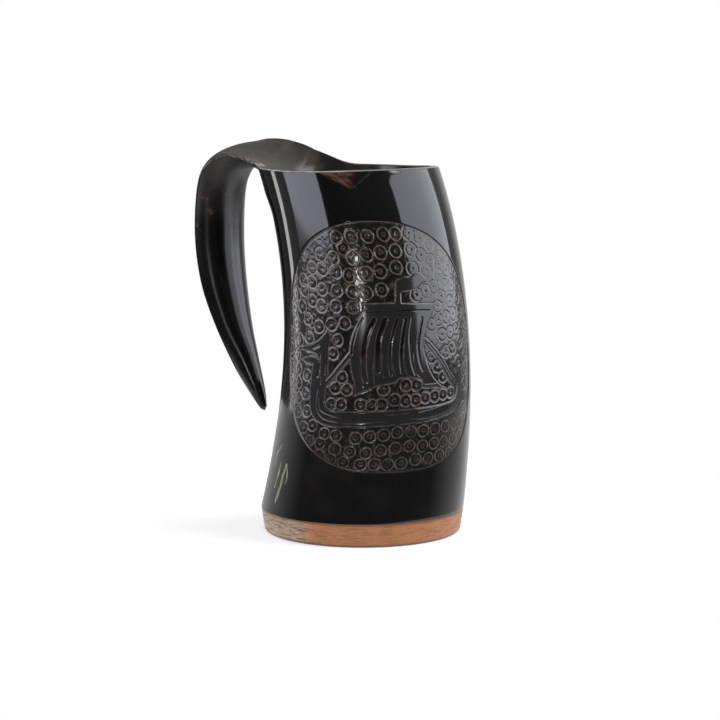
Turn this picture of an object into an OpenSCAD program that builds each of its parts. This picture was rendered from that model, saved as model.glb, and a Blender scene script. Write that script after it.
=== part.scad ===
// Horn drinking tankard: one piece of buffalo horn, whose wall is drawn out at the rim
// and bent over as the handle, down to the solid tip. A wooden base closes the foot.
// Origin: middle of the base's underside. +Z up. The handle points along -X.

/* [Barrel] */
// Height of the middle of the rim over the table
barrel_h = 152; // [135:1:175]
// Outside diameter where the horn stands on the wooden base
foot_d = 85.8; // [78:0.2:94]
// Outside diameter at the rim
rim_d = 75; // [68:0.5:82]
// How far the horn's axis bows away from the handle
bow = 7.7; // [4:0.1:9]
// How far the rim's middle leans towards the handle
lean = 6.5; // [3:0.1:8]
// Thickness of the horn wall at the rim
rim_wall = 3.4; // [2.6:0.1:4.5]
// Thickness of the horn wall just above the base
foot_wall = 4.6; // [4.2:0.1:6]
// Slope of the rim, in degrees: it rises away from the handle
rim_tilt = 2; // [0:0.1:3]

/* [Handle] */
// How far the handle's outer face stands from the middle of the base
handle_reach = 85; // [78:1:95]
// How far the top of the handle stands over the rim
handle_rise = 11.6; // [8:0.2:14]
// How far the tip hangs below the rim
handle_drop = 107; // [90:1:112]
// Width of the grip across the handle
grip_w = 28.4; // [24:0.2:32]
// How thick the grip is, from the finger side to the outside
grip_t = 15; // [12:0.5:17]
// How far the handle is rolled towards the near side at its top, in degrees
handle_roll = 12; // [6:0.5:14]
// Half the angle of wall that runs on into the handle, in degrees
root_half = 36; // [32:1:40]
// Angle from the handle at which the rim starts to climb to it, in degrees
climb_half = 60; // [54:1:66]
// How far the rim climbs before it runs out into the handle
climb_h = 3.9; // [3:0.1:6]
// How steeply it climbs near the handle: 1 is a straight climb
climb_power = 2.2; // [1.5:0.1:3]
// How far the rim has risen in a wide sweep before that climb
sweep_h = 1.4; // [0:0.1:2.5]
// Angle from the handle at which the wide sweep starts, in degrees
sweep_half = 110; // [90:5:130]

/* [Base] */
// Height of the wooden base that shows below the horn
base_show_h = 10; // [7:0.5:14]
// Height of the base's spigot inside the horn
spigot_h = 5; // [4:0.5:7]
// Width of the ledge that the spigot stops against
ledge_w = 1.2; // [1.1:0.1:1.5]
// How much narrower the base is at the table than at the horn
base_taper = 1.2; // [0:0.1:2]
// Radius of the rounded lower edge of the base
base_round = 1.8; // [1:0.1:3]

/* [Seal] */
// Thickness of the poured seal over the base, inside the cup
seal_h = 1.4; // [1:0.1:2.5]
// How high the seal climbs the wall over its own top
seal_climb = 1.2; // [0.5:0.1:2]
// Width over which the seal climbs
seal_sweep = 2; // [1:0.1:3]

/* [Turn of the wall under the handle] */
// Radius on which the wall starts to turn out to the handle
bend_r = 7; // [5:0.5:10]
// How far below the rim the middle of the handle's root starts to turn out
bend_drop = 7.5; // [5:0.5:10]
// How much higher the edges of the root start to turn out
bend_lift = 7; // [4:0.5:9]
// How far the top row of the barrel dips under the middle of the handle
root_dip = 8.7; // [6:0.1:11]
// How far the wall stands out below the handle
shoulder = 1.4; // [0:0.1:2.5]
// How far below the rim the wall starts to stand out
shoulder_drop = 20; // [14:1:28]
// Height over which it comes to stand out
shoulder_fade = 12; // [8:1:16]
// Angle from the handle at which the wall no longer stands out
shoulder_half = 70; // [60:1:80]

/* [Hidden] */

// Clearance of the spigot in its socket, all round
spigot_clear = 0.05;
// Clearance of the seal to the horn wall
seal_clear = 0.15;
// How far the socket's cut runs past the foot of the horn
overrun = 2;

// Sizes that follow from the ones above
foot_r = foot_d / 2;
rim_r = rim_d / 2;
base_top = base_show_h;
socket_top = base_show_h + spigot_h;
socket_r = foot_r - foot_wall + ledge_w;
root_roll = 0.6 * handle_roll;
root_wall = 1.3 * rim_wall;
seal_top = socket_top + seal_h + seal_climb;

// Columns of the skin, counted from the middle of the handle round one half
strip_cols = 12;
climb_cols = 8;
far_cols = 36;
cols = 2 * (strip_cols + climb_cols) + far_cols;
// Rows of the skin along the barrel, along the handle, and across the cut edges
barrel_rows = 21;
handle_rows = 38;
edge_rows = 3;
// How high the cut edges are crowned, as a share of their width
edge_crown_share = 0.12;
// Rows of the handle over which it takes on its own sections
fade_rows = 10;
// Points across one row of the handle
strip = 2 * strip_cols + 1;
// How far the point of the tip lies beyond the last section, in shares of the grip
tip_shares = [0.04, 0, -0.087];

function mix(a, b, t) = a + (b - a) * t;
function clamp01(t) = max(0, min(1, t));
function ease(t) = (1 - cos(180 * clamp01(t))) / 2;

// The barrel. Share 0 is the horn's foot and share 1 is the rim.
function share(z) = max(0, (z - base_top) / (barrel_h - base_top));
function axis_x(s) = bow * sin(180 * pow(s, 0.94)) - lean * pow(s, 5.6);
function barrel_r(s) = mix(foot_r, rim_r, ease(pow(s, 0.58)));
function wall(s) = mix(foot_wall, rim_wall, ease(s));
// The hollow is centred over the spigot, and follows the horn's axis from there up
function hollow_shift(s) = axis_x(share(socket_top)) * pow(1 - clamp01(s), 8);
function hollow_x(z) = axis_x(share(z)) - hollow_shift(share(z));
function hollow_r(z) = barrel_r(share(z)) - wall(share(z));

// The seal keeps clear of the leaning wall over its whole height
seal_x = (hollow_x(socket_top) + hollow_x(seal_top)) / 2;
seal_lean = abs(hollow_x(seal_top) - hollow_x(socket_top)) / 2;
seal_r = min(hollow_r(socket_top), hollow_r(seal_top)) - seal_lean - seal_clear;

// Angle of a column from the handle's side of the barrel
function col_angle(k) = lookup(k, [
    [0, 0],
    [strip_cols, root_half],
    [strip_cols + climb_cols, climb_half],
    [cols - strip_cols - climb_cols, 360 - climb_half],
    [cols - strip_cols, 360 - root_half],
    [cols, 360]
]);
function off_handle(angle) = min(angle, 360 - angle);

// How far the wall has turned out towards the handle at a height
function swing(angle, z) =
    pow(max(0, z - barrel_h + bend_drop - bend_lift * pow(off_handle(angle) / root_half, 2)), 2)
    / (2 * bend_r)
    + shoulder * ease((z - barrel_h + shoulder_drop) / shoulder_fade)
    * ease((shoulder_half - off_handle(angle)) / root_half);

// A point of the barrel's skin, inset from its outer face
function skin(angle, z, inset) =
    let (s = share(z), r = barrel_r(s) - inset)
    [
        axis_x(s) - (inset > 0 ? hollow_shift(s) : 0) - r * cos(angle) - swing(angle, z),
        r * sin(angle),
        z
    ];

// Height of the top row of the barrel: the rim, its climb, and the dip under the handle
function arch(angle) = clamp01((cos(angle) - cos(root_half)) / (1 - cos(root_half)));
function climb(angle) = sweep_h * ease((sweep_half - off_handle(angle)) / (sweep_half - root_half))
    + pow(clamp01((climb_half - off_handle(angle)) / (climb_half - root_half)), climb_power)
    * (climb_h + rim_r * sin(root_half) * tan(root_roll)
        * max(-1, min(1, sin(angle) / sin(root_half))));
function top_z(angle) = barrel_h - rim_r * cos(angle) * tan(rim_tilt)
    + climb(angle) - root_dip * arch(angle);

// Rows lie closer together towards the rim
function dense_top(q) = 1 - pow(1 - q, 1.6);
function outer_row(q) = [for (k = [0:cols - 1])
    let (a = col_angle(k)) skin(a, mix(base_top, top_z(a), q), 0)];
function inner_row(q) = [for (k = [0:cols - 1])
    let (a = col_angle(k), z = mix(base_top, top_z(a), q)) skin(a, z, wall(share(z)))];

// The handle. Each row is a section through it, from the rim to the tip, in shares:
// reach and level of the middle of the finger side, reach and level of the line between
// its two edges, half width, thickness, edge width, roll, and how far round its arc goes.
handle_shares = [
    [0.11, -0.01, 0.13, 0.49, 1.38, 0.27, 0.70, 0.80, 0.19],
    [0.26, 0.02, 0.30, 0.62, 1.21, 0.35, 0.56, 0.96, 0.41],
    [0.41, -0.007, 0.485, 0.645, 1.085, 0.57, 0.47, 1.00, 0.63],
    [0.52, -0.035, 0.655, 0.48, 1.03, 0.91, 0.41, 0.96, 0.81],
    [0.59, -0.075, 0.80, 0.09, 1.005, 1.04, 0.38, 0.67, 0.93],
    [0.63, -0.13, 0.89, -0.06, 1.00, 1.00, 0.35, 0.42, 1],
    [0.645, -0.23, 0.93, -0.20, 1.00, 0.96, 0.30, 0.25, 1],
    [0.64, -0.36, 0.92, -0.35, 0.97, 0.91, 0.18, 0.13, 1],
    [0.59, -0.50, 0.853, -0.507, 0.875, 0.87, 0.09, 0.08, 1],
    [0.503, -0.645, 0.706, -0.67, 0.675, 0.77, 0.03, 0.04, 1],
    [0.375, -0.783, 0.535, -0.807, 0.43, 0.72, 0, 0, 1],
    [0.27, -0.907, 0.367, -0.923, 0.24, 0.43, 0, 0, 1],
    [0.225, -0.976, 0.298, -0.985, 0.09, 0.21, 0, 0, 1],
    [0.215, -1.00, 0.27, -1.004, 0.02, 0.05, 0, 0, 1]
];
// The section at the rim, and one that leads into it from below
root_section =
    let (
        middle = skin(0, top_z(0), 0),
        near = skin(360 - root_half, top_z(360 - root_half), 0),
        far = skin(root_half, top_z(root_half), 0)
    )
    [middle[0], middle[2], (near[0] + far[0]) / 2, (near[2] + far[2]) / 2, far[1],
        root_wall, rim_wall, root_roll, root_half];
// Length over which the spline is led into the root, and the way that it comes from
root_lead = 7;
lead_shares = [0.6, -1, 0.85, -0.45, 0.5, 0, 0, 0, 0];
function level(q) = barrel_h + q * (q > 0 ? handle_rise : handle_drop);
function section(row) = [
    mix(root_section[0], -handle_reach, row[0]),
    level(row[1]),
    mix(root_section[2], -handle_reach, row[2]),
    level(row[3]),
    row[4] * grip_w / 2,
    row[5] * grip_t,
    row[6] * rim_wall,
    row[7] * handle_roll,
    mix(root_half, 90, row[8])
];
stations = concat(
    [root_section + root_lead * lead_shares, root_section],
    [for (row = handle_shares) section(row)]
);
spans = len(stations) - 3;

function spline(list, t) =
    let (
        i = min(floor(t), len(list) - 4),
        f = t - i,
        a = list[i],
        b = list[i + 1],
        c = list[i + 2],
        d = list[i + 3]
    )
    0.5 * (2 * b + (c - a) * f + (2 * a - 5 * b + 4 * c - d) * f * f
        + (3 * b - a - 3 * c + d) * f * f * f);

// A point of the handle's finger side (side 1) or of its hollow or outer side (side 0)
function section_point(p, k, side) =
    let (
        finger = [p[0], 0, p[1]],
        open = [p[2], 0, p[3]],
        depth = norm(finger - open),
        out = (finger - open) / depth,
        along = [-out[2], 0, out[0]],
        across = cos(p[7]) * [0, 1, 0] + sin(p[7]) * cross(along, [0, 1, 0]),
        down = cross(across, along),
        turn = p[8] * k / strip_cols,
        a = (cos(turn) - cos(p[8])) / (1 - cos(p[8])),
        b = sin(turn) / sin(p[8]),
        lip = side == 1 ? 0 : p[6] * clamp01((p[8] - root_half) / (90 - root_half)),
        deep = side == 1 ? depth : depth - p[5] + lip,
        wide = side == 1 ? p[4] : p[4] - p[6]
    )
    open + down * (deep * a - lip) + across * wide * b;

function root_point(k, side) =
    let (a = col_angle(k < 0 ? cols + k : k), z = top_z(a))
    skin(a, z, side == 1 ? 0 : wall(share(z)));

// The first rows carry over what the barrel's top differs from a plain section
function handle_row(j, side) =
    let (p = spline(stations, spans * j / handle_rows), keep = 1 - ease(j / fade_rows))
    [for (k = [-strip_cols:strip_cols])
        section_point(p, k, side)
            + keep * (root_point(k, side) - section_point(stations[1], k, side))];

module horn_skin() {
    outer = [for (j = [0:barrel_rows]) outer_row(dense_top(j / barrel_rows))];
    inner = [for (j = [0:barrel_rows]) inner_row(dense_top(j / barrel_rows))];
    outs = [for (j = [1:handle_rows]) handle_row(j, 1)];
    ins = [for (j = [1:handle_rows]) handle_row(j, 0)];
    tip = (outs[handle_rows - 1][strip_cols] + ins[handle_rows - 1][strip_cols]) / 2
        + grip_t * tip_shares;

    n_barrel = (barrel_rows + 1) * cols;
    n_handle = handle_rows * strip;
    function o(j, k) = j * cols + (k + cols) % cols;
    function i(j, k) = n_barrel + o(j, k);
    function ho(j, k) = j == 0 ? o(barrel_rows, k) : 2 * n_barrel + (j - 1) * strip + k + strip_cols;
    function hi(j, k) = j == 0 ? i(barrel_rows, k) : n_handle + ho(j, k);

    // The free edge: round the rim, then along both edges of the handle
    edge_o = concat(
        [for (j = [handle_rows:-1:1]) ho(j, strip_cols)],
        [for (k = [strip_cols:cols - strip_cols]) o(barrel_rows, k)],
        [for (j = [1:handle_rows]) ho(j, -strip_cols)]
    );
    edge_i = concat(
        [for (j = [handle_rows:-1:1]) hi(j, strip_cols)],
        [for (k = [strip_cols:cols - strip_cols]) i(barrel_rows, k)],
        [for (j = [1:handle_rows]) hi(j, -strip_cols)]
    );
    // Points one step inside the edge, which give the way that it faces
    edge_b = concat(
        [for (j = [handle_rows:-1:1]) ho(j, strip_cols - 1)],
        [for (k = [strip_cols:cols - strip_cols]) o(barrel_rows - 1, k)],
        [for (j = [1:handle_rows]) ho(j, 1 - strip_cols)]
    );
    base_points = concat(
        [for (row = outer) each row],
        [for (row = inner) each row],
        [for (row = outs) each row],
        [for (row = ins) each row]
    );
    n_edge = len(edge_o);
    edge_points = [for (r = [1:edge_rows]) for (n = [0:n_edge - 1])
        let (
            a = base_points[edge_o[n]],
            b = base_points[edge_i[n]],
            f = a - base_points[edge_b[n]],
            q = r / (edge_rows + 1)
        )
        mix(a, b, q) + f / norm(f) * norm(a - b) * edge_crown_share * sin(180 * q)];
    n_base = len(base_points);
    function e(r, n) = r == 0 ? edge_o[n] : r > edge_rows ? edge_i[n] : n_base + (r - 1) * n_edge + n;
    tip_index = n_base + len(edge_points);

    quads = concat(
        [for (j = [0:barrel_rows - 1]) for (k = [0:cols - 1])
            [o(j, k), o(j + 1, k), o(j + 1, k + 1), o(j, k + 1)]],
        [for (j = [0:barrel_rows - 1]) for (k = [0:cols - 1])
            [i(j, k + 1), i(j + 1, k + 1), i(j + 1, k), i(j, k)]],
        [for (k = [0:cols - 1]) [o(0, k), o(0, k + 1), i(0, k + 1), i(0, k)]],
        [for (j = [0:handle_rows - 1]) for (k = [-strip_cols:strip_cols - 1])
            [ho(j, k), ho(j + 1, k), ho(j + 1, k + 1), ho(j, k + 1)]],
        [for (j = [0:handle_rows - 1]) for (k = [-strip_cols:strip_cols - 1])
            [hi(j, k + 1), hi(j + 1, k + 1), hi(j + 1, k), hi(j, k)]],
        [for (r = [0:edge_rows]) for (n = [0:n_edge - 2])
            [e(r, n), e(r + 1, n), e(r + 1, n + 1), e(r, n + 1)]]
    );
    // The last ring of the handle, closed onto the tip
    ring = concat(
        [for (k = [-strip_cols:strip_cols]) ho(handle_rows, k)],
        [for (r = [1:edge_rows]) e(r, 0)],
        [for (k = [strip_cols:-1:-strip_cols]) hi(handle_rows, k)],
        [for (r = [edge_rows:-1:1]) e(r, n_edge - 1)]
    );
    polyhedron(
        concat(base_points, edge_points, [tip]),
        concat(
            [for (q = quads) each [[q[0], q[2], q[1]], [q[0], q[3], q[2]]]],
            [for (n = [0:len(ring) - 1]) [ring[n], ring[(n + 1) % len(ring)], tip_index]]
        ),
        convexity = 6
    );
}

module horn_body() {
    color([0.06, 0.055, 0.05])
    difference() {
        horn_skin();
        translate([0, 0, base_top - overrun])
            cylinder(h = spigot_h + overrun, r = socket_r, $fn = 96);
    }
}

module wood_base() {
    color([0.62, 0.42, 0.25])
    rotate_extrude($fn = 96)
        polygon(concat(
            [[0, 0]],
            [for (a = [0:15:90])
                [
                    foot_r - base_taper - base_round + base_round * sin(a),
                    base_round - base_round * cos(a)
                ]],
            [
                [foot_r, base_show_h],
                [socket_r - spigot_clear, base_show_h],
                [socket_r - spigot_clear, socket_top],
                [0, socket_top]
            ]
        ));
}

module resin_seal() {
    color([0.35, 0.27, 0.16])
    translate([seal_x, 0, socket_top])
    rotate_extrude($fn = 96)
        polygon([
            [0, 0],
            [seal_r, 0],
            [seal_r, seal_h + seal_climb],
            [seal_r - seal_sweep / 2, seal_h + seal_climb / 4],
            [seal_r - seal_sweep, seal_h],
            [0, seal_h]
        ]);
}

horn_body();
wood_base();
resin_seal();
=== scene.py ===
import math

import bpy
import numpy as np
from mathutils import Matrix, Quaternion, Vector


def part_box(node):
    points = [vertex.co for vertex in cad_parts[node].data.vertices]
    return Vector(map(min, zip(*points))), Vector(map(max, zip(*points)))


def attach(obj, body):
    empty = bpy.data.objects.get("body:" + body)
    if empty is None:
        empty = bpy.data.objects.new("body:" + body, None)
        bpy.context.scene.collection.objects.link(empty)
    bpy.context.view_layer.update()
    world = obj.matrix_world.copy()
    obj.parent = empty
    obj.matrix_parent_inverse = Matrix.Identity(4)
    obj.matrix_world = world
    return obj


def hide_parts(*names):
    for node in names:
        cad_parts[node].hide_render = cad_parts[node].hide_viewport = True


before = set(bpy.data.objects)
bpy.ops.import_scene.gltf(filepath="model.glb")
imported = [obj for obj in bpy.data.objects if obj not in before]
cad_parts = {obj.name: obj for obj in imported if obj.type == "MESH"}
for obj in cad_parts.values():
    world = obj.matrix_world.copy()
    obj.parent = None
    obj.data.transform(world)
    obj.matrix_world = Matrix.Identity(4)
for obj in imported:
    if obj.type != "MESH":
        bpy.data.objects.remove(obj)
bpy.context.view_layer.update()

MM = 0.001

# Sizes of the horn in millimetres, the same as the CAD model's
FOOT_R = (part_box("wood_base")[1][1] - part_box("wood_base")[0][1]) / 2 / MM
BASE_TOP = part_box("horn_body")[0][2] / MM
SOCKET_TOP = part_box("wood_base")[1][2] / MM
BARREL_H = 152.0
RIM_R = 37.5
BOW = 7.7
LEAN = 6.5
RIM_WALL = 3.4
FOOT_WALL = 4.6
RIM_TILT = 2.0
LEDGE_W = 1.2
SOCKET_R = FOOT_R - FOOT_WALL + LEDGE_W
# How the bow, the lean and the taper run up the barrel, and how the hollow's shift fades
BOW_POWER = 0.94
LEAN_POWER = 5.6
TAPER_POWER = 0.58
SHIFT_POWER = 8

# The handle, its root in the rim, and the rim's climb and sweep up to it. Halves are angles to
# each side of the handle in degrees, and so are the rolls about its length
HANDLE_REACH = 85.0
HANDLE_RISE = 11.6
HANDLE_DROP = 107.0
GRIP_W = 28.4
GRIP_T = 15.0
HANDLE_ROLL = 12.0
ROOT_HALF = 36.0
ROOT_ROLL = 0.6 * HANDLE_ROLL
ROOT_WALL = 1.3 * RIM_WALL
CLIMB_HALF = 60.0
CLIMB_H = 3.9
CLIMB_POWER = 2.2
SWEEP_H = 1.4
SWEEP_HALF = 110.0
EDGE_CROWN_SHARE = 0.12
TIP_SHARES = (0.04, 0, -0.087)

# The wall's bend outward under the handle, the dip of the rim there, and the shoulder below
BEND_R = 7.0
BEND_DROP = 7.5
BEND_LIFT = 7.0
ROOT_DIP = 8.7
SHOULDER = 1.4
SHOULDER_DROP = 20.0
SHOULDER_FADE = 12.0
SHOULDER_HALF = 70.0

# Sections of the handle in shares, as in the CAD model. The columns are the finger side's
# place, outward and up, the open side's place, outward and up, the width, the thickness in
# the middle, the thickness at the cut edges, the roll, and the arc. Before the root stands a
# row that leads into it: the root's own values and these shares of the lead
ROOT_LEAD = 7.0
LEAD_SHARES = (0.6, -1, 0.85, -0.45, 0.5, 0, 0, 0, 0)
HANDLE_SHARES = (
    (0.11, -0.01, 0.13, 0.49, 1.38, 0.27, 0.70, 0.80, 0.19),
    (0.26, 0.02, 0.30, 0.62, 1.21, 0.35, 0.56, 0.96, 0.41),
    (0.41, -0.007, 0.485, 0.645, 1.085, 0.57, 0.47, 1.00, 0.63),
    (0.52, -0.035, 0.655, 0.48, 1.03, 0.91, 0.41, 0.96, 0.81),
    (0.59, -0.075, 0.80, 0.09, 1.005, 1.04, 0.38, 0.67, 0.93),
    (0.63, -0.13, 0.89, -0.06, 1.00, 1.00, 0.35, 0.42, 1),
    (0.645, -0.23, 0.93, -0.20, 1.00, 0.96, 0.30, 0.25, 1),
    (0.64, -0.36, 0.92, -0.35, 0.97, 0.91, 0.18, 0.13, 1),
    (0.59, -0.50, 0.853, -0.507, 0.875, 0.87, 0.09, 0.08, 1),
    (0.503, -0.645, 0.706, -0.67, 0.675, 0.77, 0.03, 0.04, 1),
    (0.375, -0.783, 0.535, -0.807, 0.43, 0.72, 0, 0, 1),
    (0.27, -0.907, 0.367, -0.923, 0.24, 0.43, 0, 0, 1),
    (0.225, -0.976, 0.298, -0.985, 0.09, 0.21, 0, 0, 1),
    (0.215, -1.00, 0.27, -1.004, 0.02, 0.05, 0, 0, 1),
)
# Share of the handle over which the rim's own curve turns into these sections
FADE_SHARE = 10 / 38

# The camera's side of the barrel, as an angle from the handle, and the radius on which
# widths along the barrel's skin are measured
CAMERA_AZIMUTH = 38.0
FRONT = 270 - CAMERA_AZIMUTH
SKIN_R = 40.0


def mix(a, b, t):
    return a + (b - a) * t


def clamp01(t):
    return np.clip(t, 0, 1)


def ease(t):
    return (1 - np.cos(np.pi * clamp01(t))) / 2


def fade(x, start, width):
    """Rises from 0 at the start to 1 at the width beyond it, or before it if negative."""
    return ease((x - start) / width)


def bump(x, width):
    return np.exp(-((x / width) ** 2))


def share(z):
    return np.maximum(0, (z - BASE_TOP) / (BARREL_H - BASE_TOP))


def axis_x(s):
    return BOW * np.sin(np.pi * s**BOW_POWER) - LEAN * s**LEAN_POWER


def barrel_r(s):
    return mix(FOOT_R, RIM_R, ease(s**TAPER_POWER))


def wall(s):
    return mix(FOOT_WALL, RIM_WALL, ease(s))


def hollow_shift(s):
    return axis_x(share(SOCKET_TOP)) * (1 - clamp01(s)) ** SHIFT_POWER


def off_handle(angle):
    turned = np.mod(angle, 360)
    return np.minimum(turned, 360 - turned)


def swing(angle, z):
    off = off_handle(angle)
    start = z - BARREL_H + BEND_DROP - BEND_LIFT * (off / ROOT_HALF) ** 2
    fillet = np.maximum(0, start) ** 2 / (2 * BEND_R)
    rise = ease((z - BARREL_H + SHOULDER_DROP) / SHOULDER_FADE)
    return fillet + SHOULDER * rise * ease((SHOULDER_HALF - off) / ROOT_HALF)


def skin(angle, z, inset, inner=False):
    """A point of the barrel's skin: angle from the handle, height, and depth below the outside."""
    s = share(z)
    r = barrel_r(s) - inset
    a = np.radians(angle)
    x = axis_x(s) - r * np.cos(a) - swing(angle, z)
    if inner:
        x = x - hollow_shift(s)
    return np.stack(np.broadcast_arrays(x, r * np.sin(a), z), -1)


def top_z(angle):
    """Height of the rim, its climb to the handle, and the dip under the handle."""
    a = np.radians(angle)
    half = math.radians(ROOT_HALF)
    arch = clamp01((np.cos(a) - math.cos(half)) / (1 - math.cos(half)))
    off = off_handle(angle)
    lead = clamp01((CLIMB_HALF - off) / (CLIMB_HALF - ROOT_HALF)) ** CLIMB_POWER
    sweep = SWEEP_H * ease((SWEEP_HALF - off) / (SWEEP_HALF - ROOT_HALF))
    side = np.clip(np.sin(a) / math.sin(half), -1, 1)
    roll = RIM_R * math.sin(half) * math.tan(math.radians(ROOT_ROLL))
    tilt = RIM_R * np.cos(a) * math.tan(math.radians(RIM_TILT))
    return BARREL_H - tilt + sweep + lead * (CLIMB_H + roll * side) - ROOT_DIP * arch


def handle_stations():
    """The sections that the handle's spline runs through, in millimetres and degrees."""
    middle, far, near = (skin(a, top_z(a), 0) for a in (0.0, ROOT_HALF, -ROOT_HALF))
    open_line = (near + far) / 2
    root = np.array([middle[0], middle[2], open_line[0], open_line[2], far[1],
                     ROOT_WALL, RIM_WALL, ROOT_ROLL, ROOT_HALF])

    def level(q):
        return BARREL_H + q * (HANDLE_RISE if q > 0 else HANDLE_DROP)

    rows = []
    for out, up, open_out, open_up, wide, thick, edge, roll, arc in HANDLE_SHARES:
        rows.append([
            mix(root[0], -HANDLE_REACH, out), level(up), mix(root[2], -HANDLE_REACH, open_out),
            level(open_up), wide * GRIP_W / 2, thick * GRIP_T, edge * RIM_WALL,
            roll * HANDLE_ROLL, mix(ROOT_HALF, 90, arc)])
    return np.array([root + ROOT_LEAD * np.array(LEAD_SHARES), root, *rows])


def spline(table, t):
    """Catmull-Rom through the rows of a table, from its second row to its last but one."""
    i = np.minimum(np.floor(t).astype(int), len(table) - 4)
    f = (t - i)[:, None]
    a, b, c, d = (table[i + n] for n in range(4))
    return 0.5 * (2 * b + (c - a) * f + (2 * a - 5 * b + 4 * c - d) * f**2
                  + (3 * b - a - 3 * c + d) * f**3)


def section_points(p, k, outside):
    """Points across sections p (rows) at shares k of half their arc (columns)."""
    x, z, open_x, open_z, wide, thick, edge, roll, arc = (p[:, n, None] for n in range(9))
    finger = np.stack([x, 0 * x, z], -1)
    gap = np.stack([open_x, 0 * open_x, open_z], -1)
    depth = np.linalg.norm(finger - gap, axis=-1)
    out = (finger - gap) / depth[..., None]
    along = np.stack([-out[..., 2], 0 * depth, out[..., 0]], -1)
    y_axis = np.array([0.0, 1.0, 0.0])
    tilt = np.radians(roll)[..., None]
    across = np.cos(tilt) * y_axis + np.sin(tilt) * np.cross(along, y_axis)
    down = np.cross(across, along)
    half = np.radians(arc)
    a = (np.cos(half * k) - np.cos(half)) / (1 - np.cos(half))
    b = np.sin(half * k) / np.sin(half)
    lip = 0 * depth if outside else edge * clamp01((arc - ROOT_HALF) / (90 - ROOT_HALF))
    deep = depth if outside else depth - thick + lip
    wide = wide if outside else wide - edge
    return gap + down * (deep * a - lip)[..., None] + across * (wide * b)[..., None]


def handle_rows(shares_along, k, outside):
    """The handle's skin from the rim (share 0) to its last section (share 1)."""
    stations = handle_stations()
    p = spline(stations, (len(stations) - 3) * shares_along)
    angle = k * ROOT_HALF
    z = top_z(angle)
    root = skin(angle, z, 0) if outside else skin(angle, z, wall(share(z)), inner=True)
    plain = section_points(stations[1:2], k, outside)[0]
    keep = 1 - ease(shares_along / FADE_SHARE)
    return section_points(p, k, outside) + keep[:, None, None] * (root - plain)


# The carved panel, in millimetres on the unrolled skin: u to the right of the middle of
# the front, z above the table. Its powers say how square it is above, at the lower left and
# at the lower right. Pairs for a fade are its start and its width
PANEL_MID = (3.5, 82.3)
PANEL_HALF = (50.5, 51.0)
PANEL_POWERS = (2.15, 2.2, 3.1)
PANEL_BEVEL = 0.5
GROUND_DEPTH = 0.3
BORDER_W = 0.3
BORDER_DEPTH = 0.1
BORDER_RESIDUE = 0.3

# Stamped rings: their radius low and high on the panel, and the heights over which it grows
RING_R = (2.35, 2.75)
RING_GROWTH = (45, 115)
RING_LINE_W = 0.22
RING_DEPTH = 0.24
RING_REACH = 1.2
RING_STRENGTH = (0.75, 1.0)
RING_RESIDUE = 0.68
RING_RESIDUE_OUT = 0.04
RING_SEEDS = (7, 11)
DISH_DEPTH = 0.05
DISH_EDGE = 0.6
DOT_R = 0.36
DOT_DEPTH = 0.32
RINGLET_R = 0.85
RINGLET_W = 0.2
RINGLET_RESIDUE = 0.28
# How unevenly they are stamped: in radius, and in place
RING_UNEVEN = 0.12
RING_SHIFT = 0.2
# They fade in beside the border, and their residue is fainter to the right and high up
STAMPED_FROM = (0.6, 0.8)
FAINT_RIGHT = (13, 11)
FAINT_ABOVE = (68, 10)
FAINT_SHARE = 0.5
# Near the border there is less residue, and low down the residue is dimmed as painted shade
CLEAN_BORDER = 0.3
LOW_PAINTED_SHADE = 0.62
LOW_SHADE_FADE = (45, 55)
# Smudges of residue on the open ground
SMUDGE_FROM = 0.25
SMUDGE_RESIDUE = 0.15

# The ship stands up from the ground with soft edges, this far inside the border at least,
# and a groove runs round it
SHIP_INSIDE = 1
SHAPE_EDGE = 0.35
OUTLINE_OUT = 0.12
OUTLINE_W = 0.22
OUTLINE_DEPTH = 0.16
OUTLINE_RESIDUE = 0.4

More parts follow.
